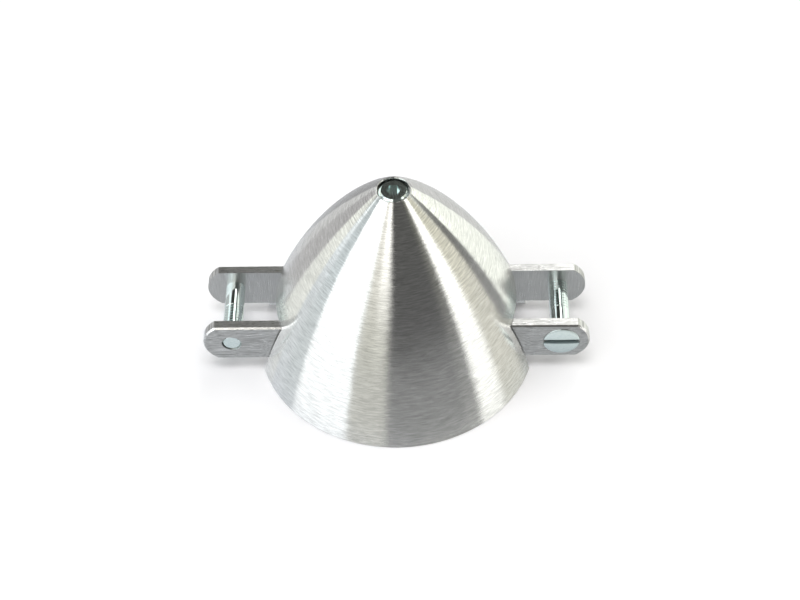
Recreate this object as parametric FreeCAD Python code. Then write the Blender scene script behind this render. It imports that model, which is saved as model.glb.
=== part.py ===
"""Folding-propeller spinner, 36 mm: cap, two-arm yoke, blade pins, shaft collet and fasteners.

Millimetres. +Z points forward, to the nose. The origin is on the shaft axis in the plane of the
cap's rear rim, and X runs through the two blade pins. Each function makes one real piece.
"""
import FreeCAD
import Part

import math
import os

Vector = FreeCAD.Vector

# Cap: a turned ogive whose outline is one arc from the rim to the nose
cap_diameter = 36.0
cap_height = 27.9
cap_bulge = 2.45            # how far the arc stands off the straight line from rim to nose
cap_wall = 1.3
nose_land = 0.12            # width of the flat ring round the nose screw
nose_break = 0.03           # broken edges of that ring
rim_break = 0.12            # broken edge of the rim, and of the nose screw's tip

# Yoke: milled bar whose two forked arms hold the blades
blade_gap = 8.0             # width of the blade root between the ears
ear_thickness = 1.3
pin_spacing = 42.0
yoke_rise = 2.3             # rear face of the arms above the rim plane
yoke_height = 6.0
ear_end_radius = 3.6        # the ear ends are turned about the pin axis
ear_break = 0.2
notch_clearance = 0.25      # cap to arm, at the sides and in front

# Yoke disc: centres the cap, and the cap's shoulder lands on it
disc_radius = 15.0
disc_thickness = 2.0
pilot_clearance = 0.02
shoulder_width = 1.0
hub_radius = 7.0
hub_behind = 1.3            # hub length behind the arms, and in front of them
hub_ahead = 1.3

# Collet: slit taper that the nut draws forward into the hub
shaft_diameter = 4.0
collet_thread_diameter = 6.0
taper_front_radius = 3.3
taper_rear_radius = 4.5
taper_lead = 0.4            # the taper stands out behind the hub by this much
collet_slits = 3
slit_width = 0.6

# Washer and collet nut
washer_diameter = 11.0
washer_bore = 6.4
washer_thickness = 1.6
nut_across_flats = 9.0
nut_neck_radius = 3.4
nut_neck_length = 2.7
nut_neck_root = 1.4         # the collet's thread ends this far behind the neck
thread_runout = 0.4         # space past the end of the collet's thread

# Blade pins: slotted countersunk M2.5 screws
pin_diameter = 2.5
pin_head_diameter = 4.7
pin_head_land = 0.15        # straight rim of the head, proud of the ear
pin_head_break = 0.05       # broken edge of that rim
pin_slot_width = 0.7
pin_slot_depth = 0.65
pin_end_recess = 0.15       # threaded end, below the ear's outer face
pin_end_break = 0.12

# Nose screw: M2 socket head, flush with the nose
nose_head_diameter = 3.7
nose_head_height = 2.0
nose_head_break = 0.3       # bevel round the top of the head
nose_head_depth = 0.05      # head top below the nose
nose_head_clearance = 0.17  # on the radius
nose_thread_diameter = 2.0
nose_hole_clearance = 0.15  # on the radius
nose_floor = 4.2            # cap metal under the head
nose_socket = 1.5           # across flats
nose_socket_depth = 1.0
nose_nut_gap = 1.85         # nut front to the nose's inner face
nose_thread_length = 3.95   # length of the screw inside the nut

# Worked-out places
cap_radius = cap_diameter / 2
nose_bore_radius = nose_head_diameter / 2 + nose_head_clearance
nose_radius = nose_bore_radius + nose_land
fork_half_width = blade_gap / 2 + ear_thickness
pin_x = pin_spacing / 2
pin_radius = pin_diameter / 2
pin_z = yoke_rise + yoke_height / 2
yoke_front = yoke_rise + yoke_height
shoulder_z = yoke_rise + disc_thickness
hub_rear = yoke_rise - hub_behind
hub_front = yoke_front + hub_ahead
collet_rear = hub_rear - taper_lead
washer_front = hub_front + washer_thickness
seat_z = cap_height - nose_head_depth - nose_head_height
nose_inner_z = seat_z - nose_floor
nut_front = nose_inner_z - nose_nut_gap
nut_hex_front = nut_front - nut_neck_length
collet_front = nut_hex_front - nut_neck_root
notch_half_width = fork_half_width + notch_clearance
notch_front = yoke_front + notch_clearance

# The arc of the cap's outline: its radius and centre
chord = math.hypot(cap_radius - nose_radius, cap_height)
arc_radius = chord ** 2 / (8 * cap_bulge) + cap_bulge / 2
arc_drop = (arc_radius - cap_bulge) / chord
arc_x = (cap_radius + nose_radius) / 2 - cap_height * arc_drop
arc_z = cap_height / 2 - (cap_radius - nose_radius) * arc_drop


def cap_radius_at(z, wall=0.0):
    """Radius of the cap at a height: outside, or inside with a wall's thickness."""
    return arc_x + math.sqrt((arc_radius - wall) ** 2 - (z - arc_z) ** 2)


def cap_height_at(radius, wall=0.0):
    """Height at which the cap has a given radius."""
    return arc_z + math.sqrt((arc_radius - wall) ** 2 - (radius - arc_x) ** 2)


# The gap's floor is hidden under the cap
gap_floor_x = cap_radius_at(notch_front) - 1.0


def line(start, end):
    """Straight edge of a section in the XZ plane, from (radius, z) to (radius, z)."""
    return Part.LineSegment(Vector(start[0], 0, start[1]), Vector(end[0], 0, end[1])).toShape()


def path(points):
    """Straight edges through the points in turn."""
    return [line(a, b) for a, b in zip(points, points[1:])]


def cap_arc(z_from, z_to, wall=0.0):
    """Edge along the cap's arc between two heights."""
    heights = (z_from, (z_from + z_to) / 2, z_to)
    points = [Vector(cap_radius_at(z, wall), 0, z) for z in heights]
    return Part.Arc(*points).toShape()


def turned(edges):
    """Solid of revolution about Z from the edges of a closed section."""
    face = Part.Face(Part.Wire(edges))
    return face.revolve(Vector(0, 0, 0), Vector(0, 0, 1), 360)


def turned_from(points):
    """Solid of revolution about Z from the corners of its section."""
    return turned(path(points + points[:1]))


def block(x, y, z):
    """Box between two limits on each axis."""
    size = [limits[1] - limits[0] for limits in (x, y, z)]
    return Part.makeBox(*size, Vector(x[0], y[0], z[0]))


def rod(radius, z_from, z_to):
    """Cylinder on the Z axis."""
    return Part.makeCylinder(radius, z_to - z_from, Vector(0, 0, z_from))


def hexagon(across_flats, z_from, z_to):
    """Hexagonal prism on the Z axis, with two corners on the X axis."""
    radius = across_flats / math.sqrt(3)
    corners = []
    for step in range(7):
        angle = math.radians(60 * step)
        corners.append(Vector(radius * math.cos(angle), radius * math.sin(angle), z_from))
    face = Part.Face(Part.makePolygon(corners))
    return face.extrude(Vector(0, 0, z_to - z_from))


def half_turn(shape):
    """The same piece turned half round the shaft axis, for the other arm."""
    other = shape.copy()
    other.rotate(Vector(0, 0, 0), Vector(0, 0, 1), 180)
    return other


def spinner_cap():
    """Turned cap with a counterbore in the nose for its screw, and a notch over each arm."""
    pilot = disc_radius + pilot_clearance
    shoulder = disc_radius - shoulder_width
    land_top = cap_height_at(shoulder, cap_wall)
    hole = nose_thread_diameter / 2 + nose_hole_clearance
    rim_outer = cap_radius_at(rim_break)
    edges = path([(pilot, 0), (rim_outer - rim_break, 0), (rim_outer, rim_break)])
    edges.append(cap_arc(rim_break, cap_height - nose_break))
    edges += path([
        (cap_radius_at(cap_height - nose_break), cap_height - nose_break),
        (nose_radius - nose_break, cap_height),
        (nose_bore_radius + nose_break, cap_height),
        (nose_bore_radius, cap_height - nose_break),
        (nose_bore_radius, seat_z),
        (hole, seat_z),
        (hole, nose_inner_z),
        (cap_radius_at(nose_inner_z, cap_wall), nose_inner_z),
    ])
    edges.append(cap_arc(nose_inner_z, land_top, cap_wall))
    edges += path([(shoulder, land_top), (shoulder, shoulder_z), (pilot, shoulder_z), (pilot, 0)])
    cap = turned(edges)
    reach = cap_radius + 1
    notches = block((-reach, reach), (-notch_half_width, notch_half_width), (-1, notch_front))
    middle = rod(shoulder - 0.5, -1, notch_front)
    return cap.cut(notches.cut(middle)).removeSplitter()


def arm_outline():
    """Side of the bar in the XZ plane: flat faces, with an arc about each pin axis."""
    flat = math.sqrt(ear_end_radius ** 2 - (yoke_height / 2) ** 2)
    tip = pin_x + ear_end_radius
    ends = pin_x + flat
    edges = [line((-ends, yoke_rise), (ends, yoke_rise))]
    right = [Vector(ends, 0, yoke_rise), Vector(tip, 0, pin_z), Vector(ends, 0, yoke_front)]
    edges.append(Part.Arc(*right).toShape())
    edges.append(line((ends, yoke_front), (-ends, yoke_front)))
    left = [Vector(-ends, 0, yoke_front), Vector(-tip, 0, pin_z), Vector(-ends, 0, yoke_rise)]
    edges.append(Part.Arc(*left).toShape())
    return Part.Face(Part.Wire(edges))


def pin_cutter():
    """Countersunk hole along +Y through the right arm: head side at -Y, thread at +Y."""
    sink_depth = pin_head_diameter / 2 - pin_radius
    start = Vector(pin_x, -fork_half_width, pin_z)
    along = Vector(0, 1, 0)
    hole = Part.makeCylinder(pin_radius, 2 * fork_half_width, start, along)
    sink = Part.makeCone(pin_head_diameter / 2, pin_radius, sink_depth, start, along)
    return hole.fuse(sink)


def yoke():
    """One milled piece: hub with a taper bore, centring disc and two forked arms."""
    bar = arm_outline().extrude(Vector(0, 2 * fork_half_width, 0))
    bar.translate(Vector(0, -fork_half_width, 0))
    side_edges = []
    for edge in bar.Edges:
        box = edge.BoundBox
        if box.YLength < 1e-6:
            side_edges.append(edge)
    bar = bar.makeChamfer(ear_break, side_edges)
    body = bar.fuse(rod(hub_radius, hub_rear, hub_front))
    body = body.fuse(rod(disc_radius, yoke_rise, shoulder_z))
    reach = pin_x + ear_end_radius + 1
    gap = block((gap_floor_x, reach), (-blade_gap / 2, blade_gap / 2), (-1, cap_height))
    body = body.cut(gap).cut(half_turn(gap))
    body = body.cut(pin_cutter()).cut(half_turn(pin_cutter()))
    taper = Part.makeCone(taper_rear_radius, taper_front_radius, hub_front - hub_rear, Vector(0, 0, hub_rear))
    return body.cut(taper).removeSplitter()


def blade_pin():
    """Slotted countersunk screw of the right arm, its head at -Y."""
    outer = pin_head_diameter / 2
    cone = outer - pin_radius
    length = 2 * fork_half_width - pin_end_recess
    screw = turned_from([
        (0, -pin_head_land),
        (outer - pin_head_break, -pin_head_land),
        (outer, pin_head_break - pin_head_land),
        (outer, 0),
        (pin_radius, cone),
        (pin_radius, length - pin_end_break),
        (pin_radius - pin_end_break, length),
        (0, length),
    ])
    half_slot = pin_slot_width / 2
    slot = block((-outer - 1, outer + 1), (-half_slot, half_slot), (-1, pin_slot_depth - pin_head_land))
    screw = screw.cut(slot)
    screw.rotate(Vector(0, 0, 0), Vector(1, 0, 0), -90)
    screw.translate(Vector(pin_x, -fork_half_width, pin_z))
    return screw


def shaft_collet():
    """Taper sleeve with a thread in front, slit from behind so that it grips the shaft."""
    slope = (taper_rear_radius - taper_front_radius) / (hub_front - hub_rear)
    rear = taper_rear_radius + slope * taper_lead
    neck_z = hub_front - taper_lead
    neck = taper_front_radius + slope * taper_lead
    thread = collet_thread_diameter / 2
    bore = shaft_diameter / 2
    collet = turned_from([
        (bore, collet_rear), (rear, collet_rear), (neck, neck_z),
        (thread, neck_z), (thread, collet_front), (bore, collet_front),
    ])
    for number in range(collet_slits):
        slit = block((0, rear + 1), (-slit_width / 2, slit_width / 2), (collet_rear - 1, hub_front))
        slit.rotate(Vector(0, 0, 0), Vector(0, 0, 1), 90 + 360 * number / collet_slits)
        collet = collet.cut(slit)
    return collet


def collet_washer():
    """Plain washer between the hub and the collet nut."""
    return rod(washer_diameter / 2, hub_front, washer_front).cut(rod(washer_bore / 2, 0, cap_height))


def collet_nut():
    """Closed hexagon nut; the nose screw enters its tapped neck."""
    hexagonal = hexagon(nut_across_flats, washer_front, nut_hex_front)
    body = hexagonal.fuse(rod(nut_neck_radius, nut_hex_front, nut_front))
    body = body.cut(rod(collet_thread_diameter / 2, washer_front - 1, collet_front + thread_runout))
    tapping = rod(nose_thread_diameter / 2, collet_front, nut_front + 1)
    return body.cut(tapping).removeSplitter()


def nose_screw():
    """Socket-head screw that holds the cap on the collet nut."""
    head = nose_head_diameter / 2
    top = seat_z + nose_head_height
    thread = nose_thread_diameter / 2
    tip = nut_front - nose_thread_length
    screw = turned_from([
        (0, tip), (thread - rim_break, tip), (thread, tip + rim_break), (thread, seat_z),
        (head, seat_z), (head, top - nose_head_break), (head - nose_head_break, top), (0, top),
    ])
    return screw.cut(hexagon(nose_socket, top - nose_socket_depth, top + 1))


right_pin = blade_pin()
pieces = {
    "spinner_cap": spinner_cap(),
    "yoke": yoke(),
    "right_blade_pin": right_pin,
    "left_blade_pin": half_turn(right_pin),
    "shaft_collet": shaft_collet(),
    "collet_washer": collet_washer(),
    "collet_nut": collet_nut(),
    "nose_screw": nose_screw(),
}

os.makedirs("parts", exist_ok=True)
for name, shape in pieces.items():
    shape.exportStep("parts/" + name + ".step")
    print("%-16s %d solid, %.1f mm3" % (name, len(shape.Solids), shape.Volume))
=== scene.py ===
"""Spinner of a folding propeller: turned cap, milled yoke, blade pins and shaft collet."""

import math

import bmesh
import bpy
from mathutils import Matrix, Vector


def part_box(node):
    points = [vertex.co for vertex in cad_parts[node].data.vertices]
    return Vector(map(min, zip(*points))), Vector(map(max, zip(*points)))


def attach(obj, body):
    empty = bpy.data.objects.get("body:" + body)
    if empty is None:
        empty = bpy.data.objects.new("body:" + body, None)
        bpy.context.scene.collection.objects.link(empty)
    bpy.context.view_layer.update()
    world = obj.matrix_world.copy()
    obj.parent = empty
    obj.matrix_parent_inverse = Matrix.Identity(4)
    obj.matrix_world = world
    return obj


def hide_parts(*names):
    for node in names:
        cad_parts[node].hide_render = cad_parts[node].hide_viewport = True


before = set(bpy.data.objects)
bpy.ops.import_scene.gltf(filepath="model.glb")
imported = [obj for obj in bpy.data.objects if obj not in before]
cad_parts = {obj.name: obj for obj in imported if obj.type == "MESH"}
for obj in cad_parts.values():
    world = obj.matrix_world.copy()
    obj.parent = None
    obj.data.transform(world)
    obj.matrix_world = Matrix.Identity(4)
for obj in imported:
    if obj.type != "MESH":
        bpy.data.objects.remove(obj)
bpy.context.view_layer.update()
MM = 0.001

# Camera: stands in front of the spinner and looks down at about 50 degrees, with a long lens.
# It aims a little below the middle of the cap, so that the nose and the floor both show.
view_elevation = math.radians(49.85)
view_azimuth = math.radians(1.03)
view_roll = math.radians(-1.28)
view_distance = 238.3 * MM
view_target = Vector((0.49, -0.31, 7.74)) * MM

towards_camera = Vector((
    math.sin(view_azimuth) * math.cos(view_elevation),
    -math.cos(view_azimuth) * math.cos(view_elevation),
    math.sin(view_elevation),
))
camera_data = bpy.data.cameras.new("camera")
camera_data.sensor_width = 36.0
camera_data.lens = 83.75
camera_data.clip_start = 10 * MM
camera_data.clip_end = 20.0
camera = bpy.data.objects.new("camera", camera_data)
camera.location = view_target + towards_camera * view_distance
aim = (-towards_camera).to_track_quat("-Z", "Y").to_matrix().to_4x4()
camera.rotation_euler = (aim @ Matrix.Rotation(view_roll, 4, "Z")).to_euler()
bpy.context.collection.objects.link(camera)
bpy.context.scene.camera = camera

# Studio: softboxes, pale boards and dark gaps lean over the table in two tiers, low and high.
# Each is given by the side of the cap that it lights, in degrees from the front towards the
# right, and by its light. They lean so that every edge runs straight from the nose to the rim.
scene = bpy.context.scene
scene.view_settings.view_transform = "Standard"
edge_softness = 0.5             # degrees over which one board blends into the next
lean = 0.645
low_tier = [
    (-180, (0.30, 0.30, 0.31)),     # dim wall behind
    (-112, (0.70, 0.70, 0.69)),
    (-97, (0.50, 0.49, 0.49)),      # grey gap, left
    (-77, (1.04, 1.06, 0.99)),      # pale board
    (-64, (0.84, 0.90, 0.93)),      # window light
    (-57, (0.75, 0.82, 0.84)),      # gap beside the window
    (-48, (1.60, 1.66, 1.68)),      # large softbox, left
    (-21.5, (0.62, 0.62, 0.55)),    # warm board in front, left
    (-8, (0.54, 0.54, 0.48)),
    (-4.6, (0.12, 0.12, 0.12)),     # dark room behind the camera
    (30, (0.20, 0.20, 0.19)),       # its far side
    (37.0, (1.70, 1.70, 1.62)),     # softbox, right
    (49.5, (0.82, 0.80, 0.68)),     # warm wall, right
    (66, (0.17, 0.17, 0.16)),       # dark upright
    (75, (1.40, 1.44, 1.30)),       # pale curtain, right
    (106, (0.75, 0.75, 0.73)),      # wall behind, right
]
high_tier = [
    (-180, (0.35, 0.35, 0.36)),
    (-112, (0.75, 0.75, 0.74)),
    (-97, (0.60, 0.59, 0.58)),
    (-77, (1.16, 1.19, 1.11)),
    (-64, (1.75, 1.84, 1.82)),
    (-59, (0.50, 0.55, 0.56)),
    (-48, (1.70, 1.76, 1.78)),
    (-19, (1.05, 1.03, 0.95)),
    (-12, (1.70, 1.68, 1.60)),
    (-3.5, (0.11, 0.11, 0.105)),
    (30, (0.21, 0.21, 0.18)),
    (37.0, (1.70, 1.70, 1.62)),
    (48, (0.66, 0.65, 0.52)),
    (64.5, (0.11, 0.11, 0.10)),
    (76, (1.05, 1.08, 0.97)),
    (106, (0.90, 0.90, 0.87)),
]

# High window behind the table: bright and dark slats, each given by where it starts sideways.
slat_softness = 0.008
window_slats = [
    (-1.0, (0.12, 0.12, 0.12)),
    (-0.75, (1.10, 1.15, 1.15)),
    (-0.48, (0.045, 0.045, 0.04)),
    (0.045, (2.60, 2.60, 2.50)),
    (0.28, (0.06, 0.06, 0.06)),
    (0.47, (0.98, 1.00, 0.93)),
]

# Heights, depths and sides are those of a direction one unit long.
tier_blend = (0.1, 0.6)         # height at which the low tier gives way to the high one
window_behind = (0.15, 0.20)    # depth at which the window starts
window_above = (0.30, 0.36)     # height at which the window starts
table_below = (-0.45, -0.7)     # height at which the light off the table takes over
table_across = (-0.35, 0.35)    # sides between which that light goes from cool to warm
shade_below = (-0.70, -0.86)    # height at which the part's own shade darkens it

world = bpy.data.worlds.new("studio")
scene.world = world
world.use_nodes = True
sky = world.node_tree
sky.nodes.clear()


def node(tree, kind, **values):
    """Adds a node to a tree and sets its plain properties."""
    made = tree.nodes.new(kind)
    for name, value in values.items():
        setattr(made, name, value)
    return made


def spread(tree, start, end):
    """Adds a node that turns the range from start to end into 0 to 1."""
    made = node(tree, "ShaderNodeMapRange")
    made.inputs["From Min"].default_value = start
    made.inputs["From Max"].default_value = end
    return made


def fill_ramp(ramp, bands, start, span, softness):
    """Sets a colour ramp to flat bands, with a short blend from each one to the next."""
    stops = ramp.color_ramp.elements
    stops[0].position = 0.0
    stops[0].color = (*bands[0][1], 1)
    stops[1].position = 1.0
    stops[1].color = (*bands[-1][1], 1)
    for (edge, light), (_, before) in zip(bands[1:], bands):
        for offset, colour in ((-softness, before), (softness, light)):
            stop = stops.new((edge + offset - start) / span)
            stop.color = (*colour, 1)


# Tiers: the side of a direction picks the board, and its height picks the tier.
direction = node(sky, "ShaderNodeTexCoord")
axes = node(sky, "ShaderNodeSeparateXYZ")
to_front = node(sky, "ShaderNodeMath", operation="MULTIPLY")
to_front.inputs[1].default_value = -1.0
leant = node(sky, "ShaderNodeMath", operation="ADD")
leant.inputs[1].default_value = lean
bearing = node(sky, "ShaderNodeMath", operation="ARCTAN2")
around = spread(sky, -math.pi, math.pi)
low_ring = node(sky, "ShaderNodeValToRGB")
high_ring = node(sky, "ShaderNodeValToRGB")
tier = spread(sky, *tier_blend)
tiers = node(sky, "ShaderNodeMix", data_type="RGBA")
fill_ramp(low_ring, low_tier, -180, 360, edge_softness)
fill_ramp(high_ring, high_tier, -180, 360, edge_softness)
sky.links.new(direction.outputs["Generated"], axes.inputs[0])
sky.links.new(axes.outputs["Y"], to_front.inputs[0])
sky.links.new(to_front.outputs[0], leant.inputs[0])
sky.links.new(axes.outputs["X"], bearing.inputs[0])
sky.links.new(leant.outputs[0], bearing.inputs[1])
sky.links.new(bearing.outputs[0], around.inputs["Value"])
sky.links.new(around.outputs["Result"], low_ring.inputs["Fac"])
sky.links.new(around.outputs["Result"], high_ring.inputs["Fac"])
sky.links.new(axes.outputs["Z"], tier.inputs["Value"])
sky.links.new(tier.outputs["Result"], tiers.inputs["Factor"])
sky.links.new(low_ring.outputs["Color"], tiers.inputs["A"])
sky.links.new(high_ring.outputs["Color"], tiers.inputs["B"])

# Window: its slats hide the tiers high up behind the table.
slats = node(sky, "ShaderNodeValToRGB")
sideways = spread(sky, -1.0, 1.0)
behind = spread(sky, *window_behind)
above = spread(sky, *window_above)
framed = node(sky, "ShaderNodeMath", operation="MULTIPLY")
whole = node(sky, "ShaderNodeMix", data_type="RGBA")
fill_ramp(slats, window_slats, -1.0, 2.0, slat_softness)
sky.links.new(axes.outputs["X"], sideways.inputs["Value"])
sky.links.new(sideways.outputs["Result"], slats.inputs["Fac"])
sky.links.new(axes.outputs["Y"], behind.inputs["Value"])
sky.links.new(axes.outputs["Z"], above.inputs["Value"])
sky.links.new(behind.outputs["Result"], framed.inputs[0])
sky.links.new(above.outputs["Result"], framed.inputs[1])
sky.links.new(framed.outputs[0], whole.inputs["Factor"])
sky.links.new(tiers.outputs["Result"], whole.inputs["A"])
sky.links.new(slats.outputs["Color"], whole.inputs["B"])

# Light off the table: cool on the left, warm on the right, and dim right below the part.
steep = spread(sky, *table_below)
near_table = node(sky, "ShaderNodeMix", data_type="RGBA")
across = spread(sky, *table_across)
cool_to_warm = node(sky, "ShaderNodeMix", data_type="RGBA")
cool_to_warm.inputs["A"].default_value = (0.90, 0.94, 1.02, 1)
cool_to_warm.inputs["B"].default_value = (0.86, 0.89, 0.84, 1)
below = spread(sky, *shade_below)
in_shade = node(sky, "ShaderNodeMix", data_type="RGBA", blend_type="MULTIPLY")
in_shade.inputs["B"].default_value = (0.55, 0.57, 0.60, 1)
sky.links.new(axes.outputs["Z"], steep.inputs["Value"])
sky.links.new(steep.outputs["Result"], near_table.inputs["Factor"])
sky.links.new(whole.outputs["Result"], near_table.inputs["A"])
sky.links.new(axes.outputs["X"], across.inputs["Value"])
sky.links.new(across.outputs["Result"], cool_to_warm.inputs["Factor"])
sky.links.new(axes.outputs["Z"], below.inputs["Value"])
sky.links.new(below.outputs["Result"], in_shade.inputs["Factor"])
sky.links.new(cool_to_warm.outputs["Result"], in_shade.inputs["A"])
sky.links.new(in_shade.outputs["Result"], near_table.inputs["B"])

# The metal sees all of this, and the camera sees plain white in its place.
lit = node(sky, "ShaderNodeBackground")
plain = node(sky, "ShaderNodeBackground")
plain.inputs["Color"].default_value = (1, 1, 1, 1)
seen_by = node(sky, "ShaderNodeLightPath")
choose = node(sky, "ShaderNodeMixShader")
sky_output = node(sky, "ShaderNodeOutputWorld")
sky.links.new(near_table.outputs["Result"], lit.inputs["Color"])
sky.links.new(seen_by.outputs["Is Camera Ray"], choose.inputs["Fac"])
sky.links.new(lit.outputs[0], choose.inputs[1])
sky.links.new(plain.outputs[0], choose.inputs[2])
sky.links.new(choose.outputs[0], sky_output.inputs["Surface"])

# Floor: a white table top, which goes on past the view on every side.
# The camera sees it as plain white wherever no shadow falls.
half_width = 3.0
floor_glow = 0.03               # lifts the shadows a little
studio_share = 0.65             # share of the studio that metal sees through the floor

floor_mesh = bpy.data.meshes.new("floor")
corners = [
    (-half_width, -half_width, 0), (half_width, -half_width, 0),
    (half_width, half_width, 0), (-half_width, half_width, 0),
]
floor_mesh.from_pydata(corners, [], [(0, 1, 2, 3)])
floor = bpy.data.objects.new("floor", floor_mesh)
bpy.context.collection.objects.link(floor)

table_top = bpy.data.materials.new("table_top")
table_top.use_nodes = True
tree = table_top.node_tree
tree.nodes.clear()
shade = node(tree, "ShaderNodeBsdfDiffuse")
shade.inputs["Color"].default_value = (0.9, 0.89, 0.91, 1)
glow = node(tree, "ShaderNodeEmission")
glow.inputs["Color"].default_value = (0.97, 0.95, 1.0, 1)
glow.inputs["Strength"].default_value = floor_glow
shown = node(tree, "ShaderNodeAddShader")
unseen = node(tree, "ShaderNodeBsdfDiffuse")
unseen.inputs["Color"].default_value = (0.55, 0.55, 0.56, 1)
clear = node(tree, "ShaderNodeBsdfTransparent")
seen_by = node(tree, "ShaderNodeLightPath")
share = node(tree, "ShaderNodeMath", operation="MULTIPLY")
share.inputs[1].default_value = studio_share
mirrored = node(tree, "ShaderNodeMixShader")
choose = node(tree, "ShaderNodeMixShader")
output = node(tree, "ShaderNodeOutputMaterial")
tree.links.new(shade.outputs[0], shown.inputs[0])
tree.links.new(glow.outputs[0], shown.inputs[1])
tree.links.new(seen_by.outputs["Is Glossy Ray"], share.inputs[0])
tree.links.new(share.outputs[0], mirrored.inputs["Fac"])
tree.links.new(unseen.outputs[0], mirrored.inputs[1])
tree.links.new(clear.outputs[0], mirrored.inputs[2])
tree.links.new(seen_by.outputs["Is Camera Ray"], choose.inputs["Fac"])
tree.links.new(mirrored.outputs[0], choose.inputs[1])
tree.links.new(shown.outputs[0], choose.inputs[2])
tree.links.new(choose.outputs[0], output.inputs["Surface"])
floor_mesh.materials.append(table_top)

# Overhead lamp: one soft, round panel high above the table and a little in front of the part,
# so that the shadows lie under the part and a little behind it.
lamp_data = bpy.data.lights.new("overhead", "AREA")
lamp_data.shape = "DISK"
lamp_data.size = 0.30
lamp_data.energy = 1.4
lamp = bpy.data.objects.new("overhead", lamp_data)
lamp.location = (0.0, -0.12, 0.6)
lamp.rotation_euler = (Vector((0, 0, 0)) - lamp.location).to_track_quat("-Z", "Y").to_euler()
lamp.visible_glossy = False
bpy.context.collection.objects.link(lamp)

# Cap: turned from aluminium bar to a satin finish. The tool leaves fine rings all the way
# round, which draw every reflection out into a spoke from the nose to the rim.


def mark_group(name, inputs, outputs):
    """Starts a shader node group with plain value sockets, and returns its tree and ends."""
    group = bpy.data.node_groups.new(name, "ShaderNodeTree")
    for label, value in inputs.items():
        socket = group.interface.new_socket(label, in_out="INPUT", socket_type="NodeSocketFloat")
        socket.default_value = value
    for label in outputs:
        group.interface.new_socket(label, in_out="OUTPUT", socket_type="NodeSocketFloat")
    return group, node(group, "NodeGroupInput"), node(group, "NodeGroupOutput")


def noise(tree, detail, roughness=0.5):
    """Adds a noise node at scale 1, for coordinates that already count its grains."""
    made = node(tree, "ShaderNodeTexNoise")
    made.inputs["Scale"].default_value = 1.0
    made.inputs["Detail"].default_value = detail
    made.inputs["Roughness"].default_value = roughness
    return made


hair_closeness = 3.7            # hairs to each ring
dashes_per_ring = 0.95
dashes_per_mm = 0.65            # in the level directions
dash_depth = 0.12               # share of the dashes in the height
dash_contrast = (0.30, 0.70)    # grey of the dashes that is taken as dark, and as light

turning, given, result = mark_group(
    "turning_marks", {"Rings per mm": 8.0, "Streaks around": 5.0}, ("Tone", "Height"))
place = node(turning, "ShaderNodeTexCoord")
level = node(turning, "ShaderNodeVectorMath", operation="MULTIPLY")
level.inputs[1].default_value = (1, 1, 0)
turning.links.new(place.outputs["Object"], level.inputs[0])

# Rings: counted up the slope, which is the height less the radius.
height = node(turning, "ShaderNodeSeparateXYZ")
radius = node(turning, "ShaderNodeVectorMath", operation="LENGTH")
slope = node(turning, "ShaderNodeMath", operation="SUBTRACT")
slope_in_mm = node(turning, "ShaderNodeMath", operation="MULTIPLY")
slope_in_mm.inputs[1].default_value = 1 / MM
ring = node(turning, "ShaderNodeMath", operation="MULTIPLY")
lift = node(turning, "ShaderNodeCombineXYZ")
turning.links.new(place.outputs["Object"], height.inputs[0])
turning.links.new(level.outputs[0], radius.inputs[0])
turning.links.new(height.outputs["Z"], slope.inputs[0])
turning.links.new(radius.outputs["Value"], slope.inputs[1])
turning.links.new(slope.outputs[0], slope_in_mm.inputs[0])
turning.links.new(slope_in_mm.outputs[0], ring.inputs[0])
turning.links.new(given.outputs["Rings per mm"], ring.inputs[1])
turning.links.new(ring.outputs[0], lift.inputs["Z"])

# Hairs: fine rings that hardly change on their way round.
outward = node(turning, "ShaderNodeVectorMath", operation="NORMALIZE")
stretched = node(turning, "ShaderNodeVectorMath", operation="SCALE")
wrapped = node(turning, "ShaderNodeVectorMath", operation="ADD")
closer = node(turning, "ShaderNodeVectorMath", operation="MULTIPLY")
closer.inputs[1].default_value = (1, 1, hair_closeness)
hair = noise(turning, 2.0)
turning.links.new(level.outputs[0], outward.inputs[0])
turning.links.new(outward.outputs[0], stretched.inputs[0])
turning.links.new(given.outputs["Streaks around"], stretched.inputs["Scale"])
turning.links.new(stretched.outputs[0], wrapped.inputs[0])
turning.links.new(lift.outputs[0], wrapped.inputs[1])
turning.links.new(wrapped.outputs[0], closer.inputs[0])
turning.links.new(closer.outputs[0], hair.inputs["Vector"])

# Dashes: short, thin strokes along the rings, which carry the tone.
sideways = node(turning, "ShaderNodeVectorMath", operation="SCALE")
sideways.inputs["Scale"].default_value = dashes_per_mm / MM
shorter = node(turning, "ShaderNodeVectorMath", operation="MULTIPLY_ADD")
shorter.inputs[1].default_value = (dashes_per_ring, dashes_per_ring, dashes_per_ring)
dashes = noise(turning, 4.0, 0.7)
contrast = spread(turning, *dash_contrast)
both = node(turning, "ShaderNodeMath", operation="MULTIPLY_ADD")
both.inputs[1].default_value = dash_depth
turning.links.new(level.outputs[0], sideways.inputs[0])
turning.links.new(lift.outputs[0], shorter.inputs[0])
turning.links.new(sideways.outputs[0], shorter.inputs[2])
turning.links.new(shorter.outputs[0], dashes.inputs["Vector"])
turning.links.new(dashes.outputs["Fac"], contrast.inputs["Value"])
turning.links.new(contrast.outputs["Result"], result.inputs["Tone"])
turning.links.new(dashes.outputs["Fac"], both.inputs[0])
turning.links.new(hair.outputs["Fac"], both.inputs[2])
turning.links.new(both.outputs[0], result.inputs["Height"])


def metal(name, colour, roughness, anisotropy=0.0):
    """Starts a bare metal material, and returns it with its tree and its shader.

    The colour and roughness are those of the plain metal, and marks linked in replace them.
    """
    made = bpy.data.materials.new(name)
    made.use_nodes = True
    shader = made.node_tree.nodes["Principled BSDF"]
    shader.inputs["Base Color"].default_value = (*colour, 1)
    shader.inputs["Metallic"].default_value = 1.0
    shader.inputs["Roughness"].default_value = roughness
    shader.inputs["Anisotropic"].default_value = anisotropy
    return made, made.node_tree, shader


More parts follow.
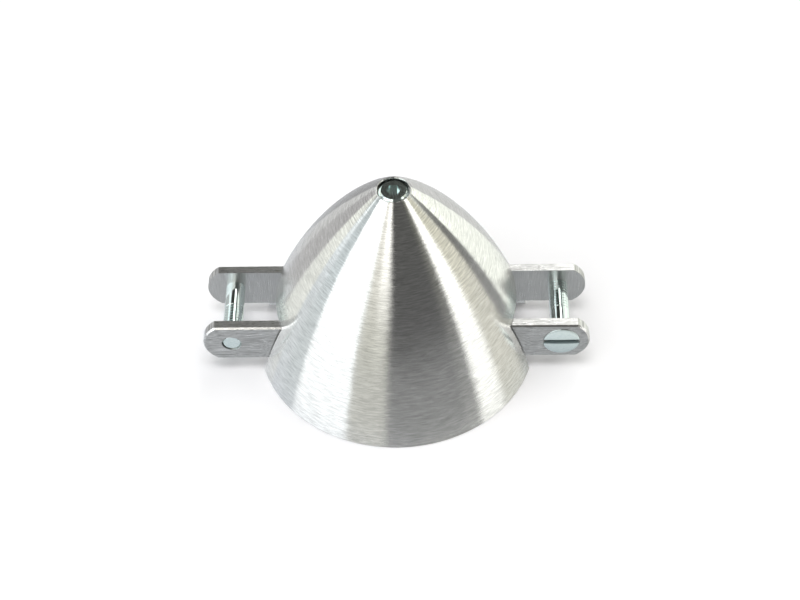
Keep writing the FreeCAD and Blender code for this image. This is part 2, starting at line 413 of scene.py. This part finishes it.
def toned(tree, tone, dark, light, socket):
    """Links a 0 to 1 tone to a colour socket, between a dark and a light colour."""
    blend = node(tree, "ShaderNodeMix", data_type="RGBA")
    blend.inputs["A"].default_value = (*dark, 1)
    blend.inputs["B"].default_value = (*light, 1)
    tree.links.new(tone, blend.inputs["Factor"])
    tree.links.new(blend.outputs["Result"], socket)


def ranged(tree, tone, low, high, socket):
    """Links a 0 to 1 tone to a value socket, between a low and a high value."""
    scale = node(tree, "ShaderNodeMapRange")
    scale.inputs["To Min"].default_value = low
    scale.inputs["To Max"].default_value = high
    tree.links.new(tone, scale.inputs["Value"])
    tree.links.new(scale.outputs["Result"], socket)


def bumped(tree, height, depth, shader):
    """Gives a shader a bump of the given depth in metres."""
    bump = node(tree, "ShaderNodeBump")
    bump.inputs["Distance"].default_value = depth
    tree.links.new(height, bump.inputs["Height"])
    tree.links.new(bump.outputs["Normal"], shader.inputs["Normal"])


def radial_tangent(tree, shader):
    """Runs the shader's tangent round the Z axis, along the tool's rings."""
    tangent = node(tree, "ShaderNodeTangent", direction_type="RADIAL", axis="Z")
    tree.links.new(tangent.outputs[0], shader.inputs["Tangent"])


turned_aluminium, tree, shader = metal("turned_aluminium", (0.83, 0.83, 0.82), 0.25, 1.0)
shader.inputs["Anisotropic Rotation"].default_value = 0.25
radial_tangent(tree, shader)
marks = node(tree, "ShaderNodeGroup", node_tree=turning)
marks.inputs["Rings per mm"].default_value = 4.5
marks.inputs["Streaks around"].default_value = 1.2
toned(tree, marks.outputs["Tone"], (0.61, 0.61, 0.60), (1.0, 1.0, 0.99),
      shader.inputs["Base Color"])
ranged(tree, marks.outputs["Tone"], 0.17, 0.12, shader.inputs["Roughness"])
bumped(tree, marks.outputs["Height"], 0.006 * MM, shader)


def finish_as(node_name, material):
    """Gives a carried-over solid a better material in all its slots."""
    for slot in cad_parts[node_name].material_slots:
        slot.material = material


finish_as("spinner_cap", turned_aluminium)

# Yoke: one piece milled from aluminium bar. The cutter ran along the arms and left long lines on
# them; it went round the ears' ends with its side, which left short marks across each edge.

waves_per_mm = 0.22             # waver of the long lines
inside_reach = -1.0             # faces that look to the middle from over 1 mm off are inside
end_facing = (0.25, 0.5)        # how far a face looks along the arm where short marks begin
edge_slant = (0.2, 0.4)         # how slanted a face is where it counts as a cut edge
line_contrast = (0.3, 0.7)      # grey of the marks that is taken as dark, and as light

brushing, given, result = mark_group(
    "brush_marks", {"Lines per mm": 7.0, "Marks per mm": 5.0, "Waver": 0.25},
    ("Tone", "Height", "Cut edge", "Inside"))
place = node(brushing, "ShaderNodeTexCoord")
in_mm = node(brushing, "ShaderNodeVectorMath", operation="SCALE")
in_mm.inputs["Scale"].default_value = 1 / MM
spot = node(brushing, "ShaderNodeSeparateXYZ")
facing = node(brushing, "ShaderNodeSeparateXYZ")
brushing.links.new(place.outputs["Object"], in_mm.inputs[0])
brushing.links.new(in_mm.outputs[0], spot.inputs[0])
brushing.links.new(place.outputs["Normal"], facing.inputs[0])

# Long lines: along the arms, but upright inside the forks. They waver a little.
slow = noise(brushing, 1.0)
slow.inputs["Scale"].default_value = waves_per_mm
bend = node(brushing, "ShaderNodeMath", operation="MULTIPLY")
sway = node(brushing, "ShaderNodeCombineXYZ")
swayed = node(brushing, "ShaderNodeVectorMath", operation="ADD")
along_arm = node(brushing, "ShaderNodeCombineXYZ")
along_arm.inputs["X"].default_value = 0.3
upright = node(brushing, "ShaderNodeCombineXYZ")
upright.inputs["Z"].default_value = 0.4
inward = node(brushing, "ShaderNodeMath", operation="MULTIPLY")
inside = node(brushing, "ShaderNodeMath", operation="LESS_THAN")
inside.inputs[1].default_value = inside_reach
course = node(brushing, "ShaderNodeMix", data_type="VECTOR")
long_lines = node(brushing, "ShaderNodeVectorMath", operation="MULTIPLY")
lines = noise(brushing, 3.0, 0.7)
brushing.links.new(in_mm.outputs[0], slow.inputs["Vector"])
brushing.links.new(slow.outputs["Fac"], bend.inputs[0])
brushing.links.new(given.outputs["Waver"], bend.inputs[1])
brushing.links.new(bend.outputs[0], sway.inputs["Y"])
brushing.links.new(bend.outputs[0], sway.inputs["Z"])
brushing.links.new(in_mm.outputs[0], swayed.inputs[0])
brushing.links.new(sway.outputs[0], swayed.inputs[1])
brushing.links.new(given.outputs["Lines per mm"], along_arm.inputs["Y"])
brushing.links.new(given.outputs["Lines per mm"], along_arm.inputs["Z"])
brushing.links.new(given.outputs["Lines per mm"], upright.inputs["X"])
brushing.links.new(spot.outputs["Y"], inward.inputs[0])
brushing.links.new(facing.outputs["Y"], inward.inputs[1])
brushing.links.new(inward.outputs[0], inside.inputs[0])
brushing.links.new(inside.outputs[0], result.inputs["Inside"])
brushing.links.new(inside.outputs[0], course.inputs["Factor"])
brushing.links.new(along_arm.outputs[0], course.inputs["A"])
brushing.links.new(upright.outputs[0], course.inputs["B"])
brushing.links.new(swayed.outputs[0], long_lines.inputs[0])
brushing.links.new(course.outputs["Result"], long_lines.inputs[1])
brushing.links.new(long_lines.outputs[0], lines.inputs["Vector"])

# Short marks: across the edge, on the faces that look outwards at the ears' ends.
round_end = node(brushing, "ShaderNodeCombineXYZ")
round_end.inputs["Y"].default_value = 0.25
short_marks = node(brushing, "ShaderNodeVectorMath", operation="MULTIPLY")
chatter = noise(brushing, 2.0)
endwise = node(brushing, "ShaderNodeMath", operation="ABSOLUTE")
at_end = spread(brushing, *end_facing)
either = node(brushing, "ShaderNodeMix", data_type="FLOAT")
stark = spread(brushing, *line_contrast)
brushing.links.new(given.outputs["Marks per mm"], round_end.inputs["X"])
brushing.links.new(given.outputs["Marks per mm"], round_end.inputs["Z"])
brushing.links.new(in_mm.outputs[0], short_marks.inputs[0])
brushing.links.new(round_end.outputs[0], short_marks.inputs[1])
brushing.links.new(short_marks.outputs[0], chatter.inputs["Vector"])
brushing.links.new(facing.outputs["X"], endwise.inputs[0])
brushing.links.new(endwise.outputs[0], at_end.inputs["Value"])
brushing.links.new(at_end.outputs["Result"], either.inputs["Factor"])
brushing.links.new(lines.outputs["Fac"], either.inputs["A"])
brushing.links.new(chatter.outputs["Fac"], either.inputs["B"])
brushing.links.new(either.outputs["Result"], result.inputs["Height"])
brushing.links.new(either.outputs["Result"], stark.inputs["Value"])
brushing.links.new(stark.outputs["Result"], result.inputs["Tone"])

# Cut edges: the narrow bevels that slant both upwards and to a side.
slant = node(brushing, "ShaderNodeMath", operation="MULTIPLY")
slanting = node(brushing, "ShaderNodeMath", operation="ABSOLUTE")
on_edge = spread(brushing, *edge_slant)
brushing.links.new(facing.outputs["Y"], slant.inputs[0])
brushing.links.new(facing.outputs["Z"], slant.inputs[1])
brushing.links.new(slant.outputs[0], slanting.inputs[0])
brushing.links.new(slanting.outputs[0], on_edge.inputs["Value"])
brushing.links.new(on_edge.outputs["Result"], result.inputs["Cut edge"])

milled_aluminium, tree, shader = metal("milled_aluminium", (0.72, 0.72, 0.72), 0.28, 0.9)
tangent = node(tree, "ShaderNodeTangent", direction_type="RADIAL", axis="X")
tree.links.new(tangent.outputs[0], shader.inputs["Tangent"])
marks = node(tree, "ShaderNodeGroup", node_tree=brushing)
marks.inputs["Lines per mm"].default_value = 9.0
marks.inputs["Marks per mm"].default_value = 4.5
marks.inputs["Waver"].default_value = 1.6
bumped(tree, marks.outputs["Height"], 0.012 * MM, shader)

# Colour: the lines are calmer inside the forks, and the cut edges are bare and bright.
calm = node(tree, "ShaderNodeMath", operation="MULTIPLY")
calm.inputs[1].default_value = 0.65
quiet = node(tree, "ShaderNodeMix", data_type="FLOAT")
quiet.inputs["B"].default_value = 0.6
bare = node(tree, "ShaderNodeMix", data_type="RGBA")
bare.inputs["B"].default_value = (0.97, 0.97, 0.96, 1)
tree.links.new(marks.outputs["Inside"], calm.inputs[0])
tree.links.new(calm.outputs[0], quiet.inputs["Factor"])
tree.links.new(marks.outputs["Tone"], quiet.inputs["A"])
toned(tree, quiet.outputs["Result"], (0.34, 0.34, 0.34), (0.92, 0.92, 0.92), bare.inputs["A"])
tree.links.new(marks.outputs["Cut edge"], bare.inputs["Factor"])
tree.links.new(bare.outputs["Result"], shader.inputs["Base Color"])

# Gloss: matt between the lines, and smooth on the cut edges.
gloss = node(tree, "ShaderNodeMix", data_type="FLOAT")
gloss.inputs["B"].default_value = 0.12
ranged(tree, marks.outputs["Tone"], 0.34, 0.26, gloss.inputs["A"])
tree.links.new(marks.outputs["Cut edge"], gloss.inputs["Factor"])
tree.links.new(gloss.outputs["Result"], shader.inputs["Roughness"])
finish_as("yoke", milled_aluminium)

# Blade pins: slotted countersunk screws of zinc-plated steel, one through each pair of ears.
# The thread starts half way along and screws into the far ear; the blade turns on the rest.

thread_pitch = 0.45 * MM
thread_depth = 0.3 * thread_pitch
thread_crest = 0.4              # share of the pitch that is flat at the crest, each side
thread_root = 0.44              # share of the pitch at which the flank meets the root
thread_start = 0.6              # pitches from the tip to the start of the thread
thread_length = 5.65 * MM
thread_steps = 14               # rows of points to each turn
round_steps = 60                # points round the screw
end_chamfer = 0.2 * MM
cone_lead = 0.1 * MM            # length of the eased corner between the shank and the cone
cone_ease = 0.02 * MM           # its rise
head_land = 0.15 * MM           # from the end of the cone to the middle of the face
head_edge = 0.03 * MM           # eased corner between the cone and the rim
head_rim = 0.06 * MM            # rounding between the rim and the face
head_crown = 0.07 * MM          # the face stands out by this much more at its middle
rim_steps = 4
crown_steps = 5
slot_width = 0.7 * MM
slot_depth = 0.65 * MM
slot_ease = 0.06 * MM           # the slot's edges widen by this much on each side
ease_start = 0.1 * MM           # they start this far below the middle of the face
ease_end = 0.02 * MM            # and end this far below it
sharp_angle = 38                # degrees; edges sharper than this stay sharp

pin_low, pin_high = (Vector(corner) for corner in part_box("right_blade_pin"))
pin_length = pin_high.y - pin_low.y
head_radius = (pin_high.x - pin_low.x) / 2
shank_radius = 1.25 * MM
head_side = pin_length - head_land
cone_start = head_side - (head_radius - shank_radius)


def thread_radius(height, turn):
    """Radius of a metric thread at a height, at a fraction of a turn round the screw."""
    phase = (height / thread_pitch - turn) % 1.0
    past_crest = abs(phase - 0.5) - thread_crest
    flank = min(max(past_crest / (thread_root - thread_crest), 0.0), 1.0)
    run_out = min(max((thread_length - height) / thread_pitch, 0.0), 1.0)
    run_in = min(max(height / thread_pitch - thread_start, 0.0), 1.0)
    return shank_radius - thread_depth * flank * run_out * run_in


def pin_rows():
    """Rows of the pin from its tip to the middle of its head, as (height, radius or None)."""
    rows = []
    count = round(thread_length / thread_pitch * thread_steps)
    for row in range(count + 1):
        rows.append((thread_length * row / count, None))
    rows.append((cone_start - cone_lead, shank_radius))
    rows.append((cone_start, shank_radius + cone_ease))
    rows.append((head_side - head_edge, head_radius - head_edge))
    rows.append((head_side, head_radius))
    flat = head_radius - head_rim
    for step in range(rim_steps + 1):
        angle = math.pi / 2 * step / rim_steps
        height = pin_length - head_crown - head_rim + head_rim * math.sin(angle)
        rows.append((height, flat + head_rim * math.cos(angle)))
    for step in range(crown_steps - 1, 0, -1):
        share = step / crown_steps
        rows.append((pin_length - head_crown * share ** 2, flat * share))
    return rows


def solid_from(name, build):
    """Makes a mesh object from a function that fills a bmesh."""
    form = bmesh.new()
    build(form)
    bmesh.ops.recalc_face_normals(form, faces=form.faces)
    mesh = bpy.data.meshes.new(name)
    form.to_mesh(mesh)
    form.free()
    piece = bpy.data.objects.new(name, mesh)
    bpy.context.collection.objects.link(piece)
    return piece


def pin_body(form):
    """Lathes the pin about Z, with its tip at the origin and a real helix for its thread."""
    rings = []
    for height, radius in pin_rows():
        ring = []
        for step in range(round_steps):
            turn = step / round_steps
            reach = thread_radius(height, turn) if radius is None else radius
            if height < end_chamfer:
                reach = min(reach, shank_radius - end_chamfer + height)
            angle = 2 * math.pi * turn
            ring.append(form.verts.new((reach * math.cos(angle), reach * math.sin(angle), height)))
        rings.append(ring)
    for lower, upper in zip(rings, rings[1:]):
        for step in range(round_steps):
            after = (step + 1) % round_steps
            form.faces.new((lower[step], lower[after], upper[after], upper[step]))
    for ring, height in ((rings[0], 0.0), (rings[-1], pin_length)):
        middle = form.verts.new((0, 0, height))
        for step in range(round_steps):
            form.faces.new((ring[step], ring[(step + 1) % round_steps], middle))


def slot_cutter(form):
    """Bar that cuts the driver slot, a little wider at the face so that its edges are eased."""
    half = slot_width / 2
    eased = half + slot_ease
    floor_z = pin_length - slot_depth
    clear_z = pin_length + MM
    section = [
        (-half, floor_z), (half, floor_z),
        (half, pin_length - ease_start), (eased, pin_length - ease_end),
        (eased, clear_z), (-eased, clear_z),
        (-eased, pin_length - ease_end), (-half, pin_length - ease_start),
    ]
    ends = []
    for x in (-head_radius - MM, head_radius + MM):
        ends.append([form.verts.new((x, y, z)) for y, z in section])
    form.faces.new(ends[0])
    form.faces.new(ends[1])
    for step in range(len(section)):
        after = (step + 1) % len(section)
        form.faces.new((ends[0][step], ends[0][after], ends[1][after], ends[1][step]))


def cut_with(body, cutter):
    """Cuts one solid out of another, and leaves no modifier behind."""
    cut = body.modifiers.new("cut", "BOOLEAN")
    cut.operation = "DIFFERENCE"
    cut.solver = "EXACT"
    cut.material_mode = "TRANSFER"
    cut.object = cutter
    result = body.evaluated_get(bpy.context.evaluated_depsgraph_get())
    mesh = bpy.data.meshes.new_from_object(result)
    body.modifiers.clear()
    body.data = mesh
    bpy.data.objects.remove(cutter)


def smoothed(mesh, degrees):
    """Shades a mesh smooth, apart from edges sharper than an angle."""
    mesh.polygons.foreach_set("use_smooth", [True] * len(mesh.polygons))
    mesh.set_sharp_from_angle(angle=math.radians(degrees))


plating, given, result = mark_group("plating", {"Grain per mm": 3.0}, ("Tone", "Height"))
place = node(plating, "ShaderNodeTexCoord")
per_metre = node(plating, "ShaderNodeMath", operation="DIVIDE")
per_metre.inputs[1].default_value = MM
clouds = noise(plating, 4.0, 0.6)
plating.links.new(given.outputs["Grain per mm"], per_metre.inputs[0])
plating.links.new(per_metre.outputs[0], clouds.inputs["Scale"])
plating.links.new(place.outputs["Object"], clouds.inputs["Vector"])
plating.links.new(clouds.outputs["Fac"], result.inputs["Tone"])
plating.links.new(clouds.outputs["Fac"], result.inputs["Height"])

zinc_plated_steel, tree, shader = metal("zinc_plated_steel", (0.76, 0.79, 0.81), 0.12)
marks = node(tree, "ShaderNodeGroup", node_tree=plating)
marks.inputs["Grain per mm"].default_value = 3.0
toned(tree, marks.outputs["Tone"], (0.72, 0.82, 0.82), (0.88, 0.96, 0.94),
      shader.inputs["Base Color"])
ranged(tree, marks.outputs["Tone"], 0.12, 0.07, shader.inputs["Roughness"])
bumped(tree, marks.outputs["Height"], 0.005 * MM, shader)

# Inside the driver slots the plating is rougher, and its colour is darkened with painted shade,
# for the shade deep in each slot.
slot_zinc_painted_shade, tree, shader = metal("slot_zinc_painted_shade", (0.45, 0.54, 0.54), 0.6)
shader.inputs["Metallic"].default_value = 0.2
marks = node(tree, "ShaderNodeGroup", node_tree=plating)
marks.inputs["Grain per mm"].default_value = 4.0
toned(tree, marks.outputs["Tone"], (0.16, 0.21, 0.22), (0.34, 0.41, 0.42),
      shader.inputs["Base Color"])
ranged(tree, marks.outputs["Tone"], 0.42, 0.30, shader.inputs["Roughness"])

pin_middle = (pin_low + pin_high) / 2
lying = Matrix.Rotation(math.pi / 2, 4, "X")
in_ears = Matrix.Translation((pin_middle.x, pin_high.y, pin_middle.z)) @ lying
for side, turn in (("right", 0.0), ("left", math.pi)):
    pin = solid_from(side + "_pin_screw", pin_body)
    pin.data.materials.append(zinc_plated_steel)
    cutter = solid_from("slot_cutter", slot_cutter)
    # The slot's cut faces take the cutter's material, which carries the slots' painted shade.
    cutter.data.materials.append(slot_zinc_painted_shade)
    cut_with(pin, cutter)
    pin.data.transform(Matrix.Rotation(turn, 4, "Z") @ in_ears)
    smoothed(pin.data, sharp_angle)
    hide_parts(side + "_blade_pin")
    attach(pin, "root")

# Collet: brass sleeve, turned to a taper and slit from behind. The nut in front draws it into
# the hub, which closes it on the motor shaft.
brass, tree, shader = metal("brass", (0.78, 0.60, 0.30), 0.25, 0.6)
shader.inputs["Anisotropic Rotation"].default_value = 0.25
radial_tangent(tree, shader)
marks = node(tree, "ShaderNodeGroup", node_tree=turning)
marks.inputs["Rings per mm"].default_value = 7.0
marks.inputs["Streaks around"].default_value = 3.0
toned(tree, marks.outputs["Tone"], (0.60, 0.42, 0.17), (0.88, 0.72, 0.42),
      shader.inputs["Base Color"])
ranged(tree, marks.outputs["Tone"], 0.34, 0.22, shader.inputs["Roughness"])
bumped(tree, marks.outputs["Height"], 0.01 * MM, shader)
finish_as("shaft_collet", brass)

# Washer and collet nut: zinc-plated steel, as the pins. The nut pulls the collet forward against
# the washer, and its tapped neck holds the nose screw.
finish_as("collet_washer", zinc_plated_steel)
finish_as("collet_nut", zinc_plated_steel)

# Nose screw: zinc-plated M2 socket-head screw. It stands flush in its counterbore, and holds
# the cap on the collet nut.
finish_as("nose_screw", zinc_plated_steel)
